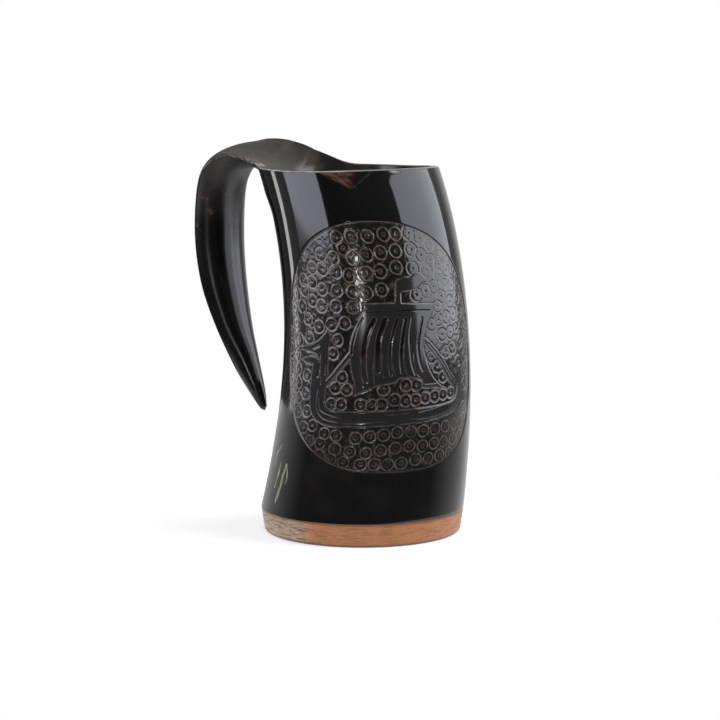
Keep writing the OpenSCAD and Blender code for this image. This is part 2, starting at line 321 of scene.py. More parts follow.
# Rows of stamped rings: places of the first and the last ring, and how many
RING_ROWS = (
    (-13.4, 126.5, 0.5, 127, 3), (8, 128, 19.2, 128, 3), (24.3, 126, 39.3, 118, 4),
    (-33.8, 109, -22, 119.6, 3), (-16.2, 118.4, -11, 122.2, 2), (-7, 118.4, -1.3, 119.8, 2),
    (5.3, 120.7, 19.1, 121.5, 3), (23.6, 119, 37.9, 112.4, 4), (-22.4, 114, -9.7, 111.6, 3),
    (-2.5, 112.5, 3.7, 113.2, 2), (11.2, 114.7, 18.4, 114, 2), (25.6, 112.9, 31.9, 110.8, 2),
    (42.8, 112.4, 45.8, 106.4, 2), (-34, 104.5, -28.8, 108.2, 2), (-39.6, 102.4, -42.6, 96.6, 2),
    (-23.5, 105.5, -9.2, 105, 3), (-3.2, 104.7, 3.2, 105.8, 2), (18.8, 103.2, 28.1, 105.9, 3),
    (35.2, 106, 40.6, 106.2, 2), (32.2, 101.8, 37.6, 99.4, 2), (43.4, 100.6, 49.2, 100.8, 2),
    (-29.3, 100.6, -24.4, 98.8, 2), (-17.5, 99, -9.8, 98.6, 2), (-36.2, 98, -32.6, 93, 2),
    (-26.4, 90.6, -13.8, 92.4, 3), (29.6, 98.2, 25.2, 91, 2), (29.2, 92.8, 44.6, 94.8, 4),
    (31.1, 86.4, 46, 88.8, 4), (50.6, 94.6, 51.2, 88.6, 2), (-41.2, 90.8, -45, 86.2, 2),
    (-38.8, 84, -32.2, 85.2, 2), (-17, 85.3, -19.4, 79.6, 2), (32.9, 79.6, 37.3, 81, 2),
    (43.4, 82.8, 49.4, 82, 2), (24.6, 78, 30.6, 69.8, 3), (-40.4, 77.6, -45.6, 79.6, 2),
    (-33, 70, -38.6, 66.4, 2), (-39.4, 71.9, -45, 73, 2), (-44, 67, -42.2, 60.8, 2),
    (-33.4, 62.4, -31.6, 55.6, 2), (-37.8, 60.2, -37.2, 54.4, 2), (-32.6, 48.6, -27.4, 49.8, 2),
    (-21.3, 47, -15.8, 46.7, 2), (-7.5, 45.8, 9.3, 47.8, 4), (15.2, 48, 44.4, 49.4, 6),
    (-28, 43.4, -22.7, 43, 2), (-15.8, 40.8, -2.6, 39.7, 3), (3.2, 40.6, 15, 42.3, 3),
    (20.8, 41.8, 43.6, 43.6, 5), (-22.4, 38, -11.3, 35.6, 3), (-4.4, 34.9, 12.2, 35, 4),
    (18.3, 36.3, 35.8, 37.2, 4), (-19.6, 59.3, -15, 59.3, 2), (-6.5, 59.5, 2.3, 59.2, 3),
    (7.5, 61.2, 16.8, 60.9, 3), (21.3, 61.7, 35.4, 62.6, 4), (12.3, 67, 17, 67, 2),
    (-18, 66, -12.7, 65.2, 2), (-15, 70.2, -15, 70.2, 1), (2.8, 65.4, 2.8, 65.4, 1),
    (45.6, 55, 50.2, 59.6, 2), (46.4, 64.6, 48, 76.4, 3),
)

# The ship's smooth shapes on the same skin, each a closed outline
PENNANT = ((8.7, 99.6), (9.3, 105.4), (9.9, 108.6), (10.8, 109.8), (14.5, 110.7), (16.6, 110.7),
           (18.7, 111.7), (20.3, 112.4), (21.8, 111.9), (23.4, 110.3), (25, 108.6), (22.3, 108),
           (20.4, 106.7), (18.6, 105.9), (16.5, 105.4), (14.2, 105), (12.3, 105), (11.6, 104.4),
           (11.3, 101), (11.6, 99.6))
YARD = ((-5.2, 100), (8, 100.4), (16, 99.9), (27.6, 99.5), (26, 96), (-4.6, 96))
SAIL_LEFT = ((-5.2, 97), (-7.2, 93.4), (-9, 90.4), (-10.3, 87.6), (-11.2, 84.4), (-11.7, 80.4),
             (-11.2, 76.6), (-10.4, 72), (-9.2, 67.6), (-8.6, 63.4))
SAIL_RIGHT = ((26.4, 97), (24.6, 93.6), (22.9, 91.2), (22, 88.4), (20.7, 85.2), (20.4, 81.2),
              (21.6, 76.2), (23.2, 72.6), (25.6, 69), (29.2, 66), (32.6, 64.4))
SAIL_FOOT = ((26, 65.8), (20.2, 66), (19.6, 69.2), (14.6, 70.2), (9, 70), (7.6, 68.4), (-0.3, 67),
             (-2.7, 66), (-6.4, 64.4))
STAY_LEFT = ((-11.4, 81.2), (-16.7, 75), (-20, 71), (-24.6, 66.4), (-23.6, 64.8), (-19, 69.4),
             (-11, 78.6))
STAY_RIGHT = ((20.2, 86), (22.4, 85.6), (27.4, 80.6), (31, 76.6), (34.6, 71.4), (38, 68.4),
              (36.6, 64.8), (33.2, 68.8), (30.4, 72.4), (28.4, 75.8), (26, 78.6), (22.4, 82.4))
HEAD = ((-21.8, 89.4), (-23.6, 87.4), (-26, 85.2), (-30, 83.2), (-35.6, 81.6), (-36.8, 80.2),
        (-32, 80), (-28.6, 79.4), (-26.4, 78), (-26.2, 70), (-25.2, 66.4), (-23.4, 68),
        (-21.8, 74), (-21.4, 82), (-20.4, 87.4))
TONGUE = ((-36.8, 75.9), (-32, 77.9), (-27.4, 77.7), (-26.4, 75.4), (-31, 74.9))
HULL = ((-29.2, 76), (-30.2, 70), (-30.2, 60), (-28.6, 55.2), (-25, 52), (-19, 50.3), (-8, 50.4),
        (6, 51), (20, 52), (30, 53.2), (37, 54.8), (41.4, 58), (43.2, 63), (43.6, 71), (40, 71.4),
        (40.2, 66), (39.2, 61.8), (36.6, 59.2), (30, 58.2), (20, 57.6), (8, 57), (-6, 56.4),
        (-15, 56.2), (-20.4, 57), (-22.6, 60), (-22.4, 66), (-21.8, 72), (-22.4, 76))
STERN_CURL = (41.3, 73.9)
STERN_CURL_R = (1.1, 3.6)

# Dark slots between the ridges of the sail: half width, and the middle line from the top
SAIL_SLOTS = (
    (0.45, ((-5.9, 94.4), (-8.3, 90.3), (-9.7, 86), (-10.6, 82.7), (-10.9, 79.8))),
    (0.95, ((-0.8, 94), (-2.5, 91), (-4, 87.7), (-5, 84.3), (-5.7, 81), (-5.8, 75),
            (-5.5, 71.7), (-4.7, 69.4))),
    (1.05, ((3.8, 93.8), (2, 89.7), (0.7, 85.7), (0.3, 82.3), (0.1, 78), (0.1, 73))),
    (0.5, ((9.2, 94), (7.7, 91), (6.7, 87.7), (5.8, 84.3), (5.2, 80), (5.1, 75),
           (5.7, 71.4))),
    (0.75, ((12.7, 93.9), (11.7, 90), (10.8, 86), (10.2, 81.3), (10, 77), (10.4, 72.6))),
    (0.45, ((15.7, 94.2), (14.9, 91), (14.2, 88), (14, 85), (14.3, 79), (14.9, 75), (16.2, 71.6))),
    (0.45, ((20.4, 94.2), (19.5, 91.3), (18.7, 88.3), (17.9, 85), (17.6, 82), (18.2, 77),
            (19.6, 73))),
)
SLOT_DEPTH = 0.2
SLOT_OUT = 0.15
SLOT_SOFT = 0.35
SLOT_RIM_W = 0.16
SLOT_RIM_RESIDUE = 0.14
# High on the sail the slots aren't scuffed at all. Low down they lose only this share of it
SLOT_FADE = (76.5, 4.5)
SLOT_SCUFFED = 0.25
# Thin scratched lines that follow the ship's shapes
SCRIBED = (
    ((-4.6, 80), (-4.6, 76.5), (-4.4, 73), (-3.9, 70.3)),
    ((-1.2, 80), (-1.9, 74.5), (-1.5, 70.5), (-1.2, 67.6)),
    ((-6.8, 79), (-6.7, 75), (-6.5, 71), (-5.7, 66.8)),
    ((2, 80), (1.9, 75), (2.7, 70.5)),
    ((6.3, 84), (6, 79.3), (6.4, 75), (7.7, 71)),
    ((11.4, 84), (11.1, 80), (11.5, 75), (12.7, 71.7), (14, 70.5)),
    ((15.6, 80), (15.7, 76), (16.7, 72.3), (18.3, 70.3)),
    ((-26, 65), (-26.6, 60), (-25.3, 55.7), (-22, 53), (-15.3, 51.9)),
    ((-25.5, 61.3), (-25, 58.7), (-23.6, 56.2), (-19.3, 54.7), (-13.7, 53.4)),
    ((-14, 51.4), (-6, 51.9), (4, 52.6)),
    ((15, 53.4), (21, 53.3), (27, 54), (33, 55), (37.6, 56.6), (40.4, 59.6)),
    ((18, 56), (21, 56.5), (25, 57.1), (31.7, 58.5)),
    ((20, 52.3), (27, 53), (32, 53.8)),
    ((4, 55.2), (10, 55.6), (14, 55.8)),
    ((22.6, 83.8), (26.7, 79.3), (30.3, 75.3), (32.7, 72), (35.6, 68.4)),
    ((-25.7, 79), (-25.8, 75), (-25, 70), (-24.9, 67)),
    ((-22.6, 75.4), (-23, 71)),
    ((20, 67.3), (27, 67.4)),
    ((37.6, 76), (37.2, 74), (37.7, 71.6)),
)
SCRIBED_W = 0.2
SCRIBED_DEPTH = 0.1
SCRIBED_RESIDUE = 0.2
# The yard's lower edge, and short dark cuts in the head, as a middle line with a half width
CUTS = (
    (0.22, ((-3.6, 96.9), (4, 97.3), (10, 97.4), (17, 97.2), (24.4, 96.9))),
    (0.5, ((-28.8, 81.4), (-26.2, 82.6))),
    (0.4, ((-25.9, 79.4), (-25.7, 74.6), (-26.4, 70))),
    (0.7, ((13, 102.5), (13.1, 102.1))),
)
CUT_SOFT = 0.3

# Smooth random fields over the skin: the seed, the size of their features in millimetres, the
# middle value, how far they go beyond it, and how much finer they are across and up
FIELDS = {
    "ground": (21, 2.6, 0.03, 0.038),
    "fine_ground": (22, 0.9, 0, 0.020),
    "skin": (23, 9.0, 0, 0.006),
    "smudge": (31, 1.4, 0, 1),
    "fine_smudge": (32, 0.6, 0, 0.5),
    "residue": (33, 0.8, 0.85, 0.3),
    "ring_residue": (34, 1.3, 0.8, 0.5),
    "worn": (35, 2.2, 0.7, 0.45),
    "waver": (36, 1.1, 0, 0.09),
    "fine_waver": (37, 0.5, 0, 0.05),
    "streaks": (41, 0.9, 0.5, 0.7, 2.2, 0.6),
    "layers": (43, 1.6, 0.55, 0.9, 4, 0.6),
    "patch_border": (44, 1.0, 0.07, 0.07),
    "rim": (45, 3.0, 1, 0.5, 1, 0),
    "brown": (46, 1.6, 1, 0.8, 1, 0.5),
    "under_rim": (47, 1.0, 0.75, 0.6, 0.5, 2.5),
}
# Their grid of random values has so many each way, and the skin's middle lies this far in
FIELD_CELLS = 256
FIELD_SHIFT = 100

# These keep sums off zero: lengths of lines, and distances from the panel's middle
TINY = 1e-9
OFF_MIDDLE = 1e-6


def distance_to_line(u, z, points):
    """Distance to an open line through the points."""
    best = np.full(u.shape, np.inf)
    for (au, az), (bu, bz) in zip(points, points[1:]):
        du, dz = bu - au, bz - az
        t = clamp01(((u - au) * du + (z - az) * dz) / (du * du + dz * dz + TINY))
        best = np.minimum(best, np.hypot(u - au - t * du, z - az - t * dz))
    return best


def distance_to_curve(u, z, points, steps=3):
    """Distance to the smooth curve through the points."""
    return distance_to_line(u, z, smooth_line(points, steps))


def depth_inside(u, z, points):
    """Distance to a closed outline, positive inside it."""
    inside = np.zeros(u.shape, bool)
    ring = list(points) + [points[0]]
    for (au, az), (bu, bz) in zip(ring, ring[1:]):
        if az == bz:
            continue
        crosses = (az > z) != (bz > z)
        inside ^= crosses & (u < au + (z - az) / (bz - az) * (bu - au))
    return np.where(inside, 1, -1) * distance_to_line(u, z, ring)


def smooth_line(points, steps=4):
    """A Catmull-Rom curve through a list of points."""
    table = np.array([points[0], *points, points[-1]], float)
    t = np.linspace(0, len(table) - 3, (len(table) - 3) * steps + 1)
    return [tuple(p) for p in spline(table, t)]


def panel_depth(u, z):
    """Distance inside the panel's border: nearly round above, fuller at the lower right."""
    x = np.abs(u - PANEL_MID[0]) / PANEL_HALF[0] + OFF_MIDDLE
    y = np.abs(z - PANEL_MID[1]) / PANEL_HALF[1] + OFF_MIDDLE
    lower = np.where(u < PANEL_MID[0], PANEL_POWERS[1], PANEL_POWERS[2])
    n = np.where(z > PANEL_MID[1], PANEL_POWERS[0], lower)
    f = (x**n + y**n) ** (1 / n)
    slope = f ** (1 - n) * np.hypot(x ** (n - 1) / PANEL_HALF[0], y ** (n - 1) / PANEL_HALF[1])
    return (1 - f) / slope


def field(name, u, z):
    """A smooth random value at each place, as the list of fields says."""
    seed, size, middle, spread, *finer = FIELDS[name]
    wide, tall = finer or (1, 1)
    grid = np.random.default_rng(seed).uniform(-1, 1, (FIELD_CELLS, FIELD_CELLS))
    x, y = u * wide / size + FIELD_SHIFT, z * tall / size + FIELD_SHIFT
    i, j = np.floor(x).astype(int), np.floor(y).astype(int)
    fx, fy = ease(x - i), ease(y - j)
    i, j = i % (FIELD_CELLS - 1), j % (FIELD_CELLS - 1)
    low = mix(grid[i, j], grid[i + 1, j], fx)
    high = mix(grid[i, j + 1], grid[i + 1, j + 1], fx)
    return middle + spread * mix(low, high, fy)


def ring_places():
    rng = np.random.default_rng(RING_SEEDS[0])
    for au, az, bu, bz, count in RING_ROWS:
        for n in range(count):
            t = n / max(1, count - 1)
            u, z = mix(au, bu, t), mix(az, bz, t)
            growth = float(clamp01((z - RING_GROWTH[0]) / (RING_GROWTH[1] - RING_GROWTH[0])))
            r = mix(*RING_R, growth) + rng.uniform(-RING_UNEVEN, RING_UNEVEN)
            shift_u = rng.uniform(-RING_SHIFT, RING_SHIFT)
            yield u + shift_u, z + rng.uniform(-RING_SHIFT, RING_SHIFT), r


def stamped_rings(u, z):
    """Depth of the rings with their dots, and the pale residue in them."""
    depth, residue = np.zeros(u.shape), np.zeros(u.shape)
    rng = np.random.default_rng(RING_SEEDS[1])
    waver = field("waver", u, z) + field("fine_waver", u, z)
    for ru, rz, r in ring_places():
        near = (np.abs(u - ru) < r + RING_REACH) & (np.abs(z - rz) < r + RING_REACH)
        d = np.hypot(u[near] - ru, z[near] - rz) + waver[near]
        strength = rng.uniform(*RING_STRENGTH)
        groove = bump(d - r, RING_LINE_W) * RING_DEPTH + bump(d, DOT_R) * DOT_DEPTH
        dish = DISH_DEPTH * ease((r - d) / DISH_EDGE)
        depth[near] = np.maximum(depth[near], strength * (groove + dish))
        line = RING_RESIDUE * bump(d - r - RING_RESIDUE_OUT, RING_LINE_W)
        ringlet = RINGLET_RESIDUE * bump(d - RINGLET_R, RINGLET_W)
        residue[near] = np.maximum(residue[near], strength * np.maximum(line, ringlet))
    return depth, residue


def cut_line(u, z, half, points, soft=CUT_SOFT, steps=3):
    """How far a point lies in a round-ended slot: 1 along its middle, 0 outside."""
    return ease((half + soft / 2 - distance_to_curve(u, z, points, steps)) / soft)


def ship_shapes(u, z):
    """Distance inside the ship's outline, and how much of it is slots, their rims and lines."""
    left, right = smooth_line(SAIL_LEFT), smooth_line(SAIL_RIGHT)
    shapes = [depth_inside(u, z, left + list(SAIL_FOOT[::-1]) + right[::-1])]
    curl_r = np.hypot(u - STERN_CURL[0], z - STERN_CURL[1])
    shapes += [np.minimum(curl_r - STERN_CURL_R[0], STERN_CURL_R[1] - curl_r)]
    shapes += [depth_inside(u, z, outline) for outline in (YARD, PENNANT, STAY_LEFT, STAY_RIGHT)]
    shapes += [depth_inside(u, z, smooth_line(outline)) for outline in (HULL, HEAD, TONGUE)]
    slots, rims, lines = (np.zeros(u.shape) for _ in range(3))
    for half, points in SAIL_SLOTS:
        away = distance_to_curve(u, z, points)
        slots = np.maximum(slots, ease((half + SLOT_OUT - away) / SLOT_SOFT))
        rims = np.maximum(rims, bump(away - half - SLOT_OUT, SLOT_RIM_W))
    for half, points in CUTS:
        slots = np.maximum(slots, cut_line(u, z, half, points))
    for points in SCRIBED:
        lines = np.maximum(lines, bump(distance_to_curve(u, z, points), SCRIBED_W))
    return np.maximum.reduce(shapes), slots, rims, lines


def carve(u, z):
    """Depth of the carving, and its marks: ground, pale residue and scuffed shapes."""
    edge = panel_depth(u, z)
    ground = ease(edge / PANEL_BEVEL)
    border = bump(edge - BORDER_W, BORDER_W)
    ship, slots, rims, lines = (np.zeros(u.shape) for _ in range(4))
    inside = edge > SHIP_INSIDE
    ship[~inside] = -PANEL_HALF[0]
    ship[inside], slots[inside], rims[inside], lines[inside] = ship_shapes(u[inside], z[inside])
    raised = ease((ship + SHAPE_EDGE / 2) / SHAPE_EDGE)
    outline = bump(ship + OUTLINE_OUT, OUTLINE_W) * ground
    worn = field("worn", u, z)

    open_ground = ground * (1 - raised)
    depth = open_ground * GROUND_DEPTH + border * BORDER_DEPTH + outline * OUTLINE_DEPTH
    depth += raised * (slots * SLOT_DEPTH + lines * SCRIBED_DEPTH)
    residue = OUTLINE_RESIDUE * outline * worn + BORDER_RESIDUE * border * worn
    residue += raised * (SLOT_RIM_RESIDUE * rims + SCRIBED_RESIDUE * lines) * worn
    scuffed = raised * (1 - slots * mix(SLOT_SCUFFED, 1, fade(z, *SLOT_FADE)))

    rings, ring_residue = stamped_rings(u, z)
    stamped = open_ground * fade(edge, *STAMPED_FROM)
    depth += rings * stamped
    fainter = fade(u, *FAINT_RIGHT) * fade(z, *FAINT_ABOVE)
    residue += ring_residue * stamped * field("ring_residue", u, z) * mix(1, FAINT_SHARE, fainter)
    uneven = field("ground", u, z) + field("fine_ground", u, z)
    depth += open_ground * uneven + field("skin", u, z)
    smudge = clamp01(field("smudge", u, z) + field("fine_smudge", u, z) - SMUDGE_FROM)
    residue = clamp01(residue * field("residue", u, z))
    residue = np.maximum(residue, SMUDGE_RESIDUE * smudge * open_ground)
    # Less residue near the border, and painted shade that dims the residue low down
    residue *= clamp01(edge / CLEAN_BORDER) * mix(LOW_PAINTED_SHADE, 1, fade(z, *LOW_SHADE_FADE))
    return depth, open_ground, residue, scuffed * ground


# Pale streaks of the horn itself, low on the left: half width, and the line
STREAKS = (
    (0.25, ((-45.4, 39.2), (-47.4, 36.9), (-49, 34.6), (-49.2, 29.6))),
    (0.4, ((-43.8, 32.2), (-44.2, 27), (-45.4, 21.4))),
    (0.7, ((-38.9, 31.6), (-39.6, 29), (-40.4, 25.6), (-41.6, 18.6), (-42.4, 15.6))),
    (0.35, ((-38.4, 30.6), (-37.4, 27), (-37.7, 24.4))),
)
STREAK_SOFT = 0.6
STREAKS_UNDER = 45
STREAKS_LEFT_OF = -30
# A layered reddish patch under the rim, in front: its outline, and the direction of its
# layers. It fades to the right from a place that shifts with height, as the place, the shift
# for each millimetre above a height, that height and the width of the fade say. Close under
# the rim it goes on
PATCH = ((-15.4, 154), (-14.8, 152.6), (-4.5, 147.6), (-2, 146.2), (0.5, 146.9), (10, 153),
         (10, 154))
PATCH_GRAIN = (0.89, -0.456)
PATCH_ABOVE = 143
PATCH_WITHIN = 20
PATCH_SOFT = (-0.2, 0.8)
PATCH_STEP = 0.1
PATCH_STEP_W = 0.6
PATCH_STEP_LEAST = 0.5
PATCH_FADE = (1.5, 0.3, 150, 4)
# A painted glint, a faint pale line along the patch's edge: its width, and where it fades in from
# the left, as a start and a width
PATCH_GLINT_W = 0.2
PATCH_GLINT_FROM = (-8, 6)
UNDER_RIM_FROM = (150.6, 1.2)
UNDER_RIM_FADE = (3, -4)
# A small nick in the rim, to the right of the front: its middle, half its size, its depth
# and how pale it is
NICK = (20.6, 153.0)
NICK_R = (2.3, 0.7)
NICK_DEPTH = 0.3
NICK_PALE = 0.5


def horn_marks(u, z):
    """Pale streaks, the reddish patch, a painted glint at its edge, and how deep patch and nick
    go.
    """
    pale = np.zeros(u.shape)
    near = (z < STREAKS_UNDER) & (u < STREAKS_LEFT_OF)
    for half, points in STREAKS:
        streak = cut_line(u[near], z[near], half, points, soft=STREAK_SOFT, steps=4)
        pale[near] = np.maximum(pale[near], streak)
    pale *= clamp01(field("streaks", u, z))
    red, border, depth = (np.zeros(u.shape) for _ in range(3))
    near = (z > PATCH_ABOVE) & (np.abs(u) < PATCH_WITHIN)
    pu, pz = u[near], z[near]
    inside = depth_inside(pu, pz, PATCH)
    across = pu * PATCH_GRAIN[1] - pz * PATCH_GRAIN[0]
    along = pu * PATCH_GRAIN[0] + pz * PATCH_GRAIN[1]
    layers = clamp01(field("layers", across, along))
    right, slant, middle, width = PATCH_FADE
    left = ease((right + slant * (pz - middle) - pu) / width)
    under_rim = fade(pz, *UNDER_RIM_FROM) * fade(pu, *UNDER_RIM_FADE)
    under_rim = under_rim * clamp01(field("under_rim", pu, pz))
    red[near] = fade(inside, *PATCH_SOFT) * np.maximum(left * layers, under_rim)
    # A painted glint: a faint pale line along the patch's edge
    border[near] = bump(inside, PATCH_GLINT_W) * field("patch_border", pu, pz)
    border[near] *= fade(pu, *PATCH_GLINT_FROM)
    depth[near] = ease(inside / PATCH_STEP_W) * PATCH_STEP * (PATCH_STEP_LEAST + layers)
    nick = np.exp(-((u - NICK[0]) / NICK_R[0]) ** 2 - ((z - NICK[1]) / NICK_R[1]) ** 2)
    border = clamp01(border + NICK_PALE * nick)
    return clamp01(pale), clamp01(red), border, depth + NICK_DEPTH * nick


# Spacing of the horn's mesh in millimetres: fine over the panel, coarser elsewhere
FINE = 0.27
PANEL_ANGLES = (FRONT - 85, FRONT + 74)
PANEL_LEVELS = (26.0, 138.0)
# Columns before and after the panel, and across the strip that runs up into the handle
BEFORE_COLS = 76
AFTER_COLS = 22
STRIP_COLS = 48
FOOT_EDGE = 0.06
FOOT_ROWS = 18
# Rows above the panel and inside, which crowd towards the rim as their powers say
TOP_ROWS = 34
TOP_CROWDING = 1.3
INNER_ROWS = 70
INNER_CROWDING = 1.6
HANDLE_STEPS = 230

# On the unrolled skin the handle's finger side lies this far to the right of the handle's
# angle, and its open side this much further
HANDLE_U = 60.0
TROUGH_U = 40.0
# From where along the handle, and over how much of it, the look of the inside fades
TROUGH_FADE = (0.35, 0.35)
# The thin wall beside the near cut edge: how far it runs along the handle and where it
# starts, how far from the middle it lies, and how light it is
THIN_RUN = 0.12
THIN_START = 0.03
THIN_FROM = 0.6
THIN_PALE = 0.7
# The barrel is browner below the near corner of the handle's root: how brown, how far the
# middle lies beyond the corner in degrees, and how far it reaches in degrees and millimetres
ROOT_BROWN = 0.3
ROOT_BROWN_AT = 2
ROOT_BROWN_SPAN = (7, 13)

# The cut edge: how square its crown is, the places of its rows, its roughness in millimetres
# and the share of that on the rim, how far it runs on round the rim in degrees, and the light
# chipped corner at each side of the handle's root, in steps of the mesh
CROWN_POWER = 4
EDGE_SHARES = (0.03, 0.1, 0.22, 0.4, 0.6, 0.78, 0.9, 0.97)
EDGE_ROUGH = 0.05
EDGE_SEED = 5
RIM_ROUGH = 0.15
CORNER_RUN = 8.0
CORNER_STEPS = 7.0
# The rim is worn pale on the side that faces the camera, less so on its right: how pale, the
# share on the right, how far it reaches to both sides, and its fades
RIM_WORN = 0.62
RIM_WORN_SHARE = 0.3
RIM_WORN_HALF = 62
RIM_WORN_FADE = 8
RIM_WORN_RIGHT = (-8, 20)

# What is painted on the horn, from 0 to 1 at each point
LAYERS = ("ground", "residue", "scuffed", "pale", "red", "cut", "corner", "inside", "worn")


def horn_angles():
    """Columns of the barrel, as angles from the handle, starting at one edge of its root."""
    strip = np.linspace(-ROOT_HALF, ROOT_HALF, STRIP_COLS + 1)[:-1]
    before = np.linspace(ROOT_HALF, PANEL_ANGLES[0], BEFORE_COLS)[:-1]
    count = int((PANEL_ANGLES[1] - PANEL_ANGLES[0]) / math.degrees(FINE / SKIN_R))
    panel = np.linspace(*PANEL_ANGLES, count)[:-1]
    after = np.linspace(PANEL_ANGLES[1], 360 - ROOT_HALF, AFTER_COLS)[:-1]
    return np.concatenate([strip, before, panel, after])


def barrel_levels():
    """Shares of the barrel's height for its rows outside."""
    low = np.linspace(BASE_TOP + FOOT_EDGE, PANEL_LEVELS[0], FOOT_ROWS)[:-1]
    panel = np.arange(*PANEL_LEVELS, FINE)
    rising = 1 - np.linspace(1, 0, TOP_ROWS) ** TOP_CROWDING
    top = PANEL_LEVELS[1] + (BARREL_H - PANEL_LEVELS[1]) * rising
    return share(np.concatenate([[BASE_TOP], low, panel, top]))


def around(angle):
    """Place across the skin, to the right of the front, in millimetres."""
    return -np.radians(np.mod(angle - FRONT + 180, 360) - 180) * SKIN_R


def grid_quads(index):
    """Quads between neighbouring entries of a two-way table of vertex numbers."""
    corners = [index[:-1, :-1], index[:-1, 1:], index[1:, 1:], index[1:, :-1]]
    return np.stack(corners, -1).reshape(-1, 4)


def closed(index):
    """The table with its first column repeated at its end."""
    return np.concatenate([index, index[:, :1]], 1)


class Blocks:
    """Blocks of points with their marks, numbered in the order in which they are added."""

    def __init__(self):
        self.points = np.zeros((0, 3))
        self.layers = {name: np.zeros(0) for name in LAYERS}
        self.layers["skin"] = np.zeros((0, 2))

    def add(self, block, skin_uv, **marks):
        """Adds a block of points (rows, columns, 3) and returns their numbers."""
        shape = block.shape[:2]
        start = len(self.points)
        self.points = np.concatenate([self.points, block.reshape(-1, 3)])
        for name in LAYERS:
            values = np.broadcast_to(marks.get(name, 0.0), shape).reshape(-1)
            self.layers[name] = np.concatenate([self.layers[name], values])
        places = np.broadcast_to(skin_uv, shape + (2,)).reshape(-1, 2)
        self.layers["skin"] = np.concatenate([self.layers["skin"], places])
        return np.arange(start, len(self.points)).reshape(shape)


def add_outside(blocks, angles, tops):
    """The barrel's outside, with the carving and the marks of the horn."""
    z = mix(BASE_TOP, tops, barrel_levels()[:, None])
    u = np.broadcast_to(around(angles), z.shape)
    depth, ground, residue, scuffed = carve(u, z)
    pale, red, patch_border, patch_depth = horn_marks(u, z)
    beside_root = bump(angles - 360 + ROOT_HALF + ROOT_BROWN_AT, ROOT_BROWN_SPAN[0])
    brown = ROOT_BROWN * beside_root * bump(tops - z, ROOT_BROWN_SPAN[1]) * field("brown", u, z)
    # The residue layer also carries the painted glint along the reddish patch's edge
    return blocks.add(
        skin(angles, z, depth + patch_depth), np.stack([u, z], -1), ground=ground,
        residue=np.maximum(residue, patch_border), scuffed=scuffed, pale=pale, red=red,
        corner=clamp01(brown))


def add_hollow(blocks, angles, tops):
    """The round socket for the base's spigot, and the hollow above it."""
    a = np.radians(angles)
    z = np.array([[BASE_TOP], [SOCKET_TOP]]) + 0 * a
    places = np.stack([around(angles) + 0 * z, z], -1)
    socket = np.stack([-SOCKET_R * np.cos(a) + 0 * z, SOCKET_R * np.sin(a) + 0 * z, z], -1)
    lower = blocks.add(socket, places, inside=1.0)
    rising = 1 - (1 - np.linspace(0, 1, INNER_ROWS)) ** INNER_CROWDING
    z = mix(SOCKET_TOP, tops, rising[:, None])
    places = np.stack([np.broadcast_to(around(angles), z.shape), z], -1)
    return lower, blocks.add(skin(angles, z, wall(share(z)), inner=True), places, inside=1.0)


def add_handle(blocks):
    """The handle's finger side and its open side, from the rim on."""
    k = np.linspace(-1, 1, STRIP_COLS + 1)
    along = np.linspace(0, 1, HANDLE_STEPS + 1)[1:]
    finger_side = handle_rows(along, k, True)
    middle = finger_side[:, STRIP_COLS // 2]
    run = np.cumsum(np.linalg.norm(np.diff(middle, axis=0, prepend=middle[:1]), axis=1))
    half_w = np.linalg.norm(finger_side[:, -1] - finger_side[:, 0], axis=1) / 2
    places = np.stack(np.broadcast_arrays(
        around(0.0) + HANDLE_U + half_w[:, None] * k, BARREL_H + run[:, None]), -1)
    outer = blocks.add(finger_side, places)
    trough = 1 - fade(along, *TROUGH_FADE)
    thin = (bump(along, THIN_RUN) * ease(along / THIN_START))[:, None]
    thin = thin * np.clip(-k - THIN_FROM, 0, 1) * THIN_PALE
    inner = blocks.add(handle_rows(along, k, False), places + np.array([TROUGH_U, 0]),
                       inside=trough[:, None], corner=thin)
    return outer, inner


def along_edge(rim, handle, barrel_row, column):
    """Up one side of the handle, round the rim, and down the other side."""
    return np.concatenate([handle[::-1, -1 - column], barrel_row[rim], handle[:, column]])


def add_edge(blocks, rim_angles, outer, inner, below):
    """Rows across the free edge: rough on the handle, rounded and polished round the rim."""
    a, b = blocks.points[outer], blocks.points[inner]
    facing = a - blocks.points[below]
    facing /= np.linalg.norm(facing, axis=1, keepdims=True)
    width = np.linalg.norm(a - b, axis=1, keepdims=True)
    count = len(outer)
    rough = np.random.default_rng(EDGE_SEED).uniform(-1, 1, (len(EDGE_SHARES), count, 1))
    on_rim = slice(HANDLE_STEPS, HANDLE_STEPS + len(rim_angles))
    cut, corner, worn = np.ones(count), np.zeros(count), np.zeros(count)
    cut[on_rim] = ease((ROOT_HALF + CORNER_RUN - off_handle(rim_angles)) / CORNER_RUN)
    steps = np.arange(count, dtype=float)
    for start in (on_rim.start, on_rim.stop):
        corner += bump(steps - start, CORNER_STEPS)
    rim_u = around(rim_angles)
    front = ease((rim_u + RIM_WORN_HALF) / RIM_WORN_FADE)
    front *= mix(1, RIM_WORN_SHARE, fade(rim_u, *RIM_WORN_RIGHT))
    front *= ease((RIM_WORN_HALF - rim_u) / RIM_WORN_FADE)
    worn[on_rim] = RIM_WORN * front * field("rim", rim_u, rim_u)
    rows = []
    for n, t in enumerate(EDGE_SHARES):
        crown = EDGE_CROWN_SHARE * (1 - abs(2 * t - 1) ** CROWN_POWER)
        scratch = EDGE_ROUGH * mix(RIM_ROUGH, 1, cut[:, None]) * (rough[n] - 1)
        rows.append(mix(a, b, t) + facing * (width * crown + scratch))
    places = blocks.layers["skin"][outer]
    return blocks.add(np.stack(rows), places, cut=cut, corner=corner, worn=clamp01(worn))


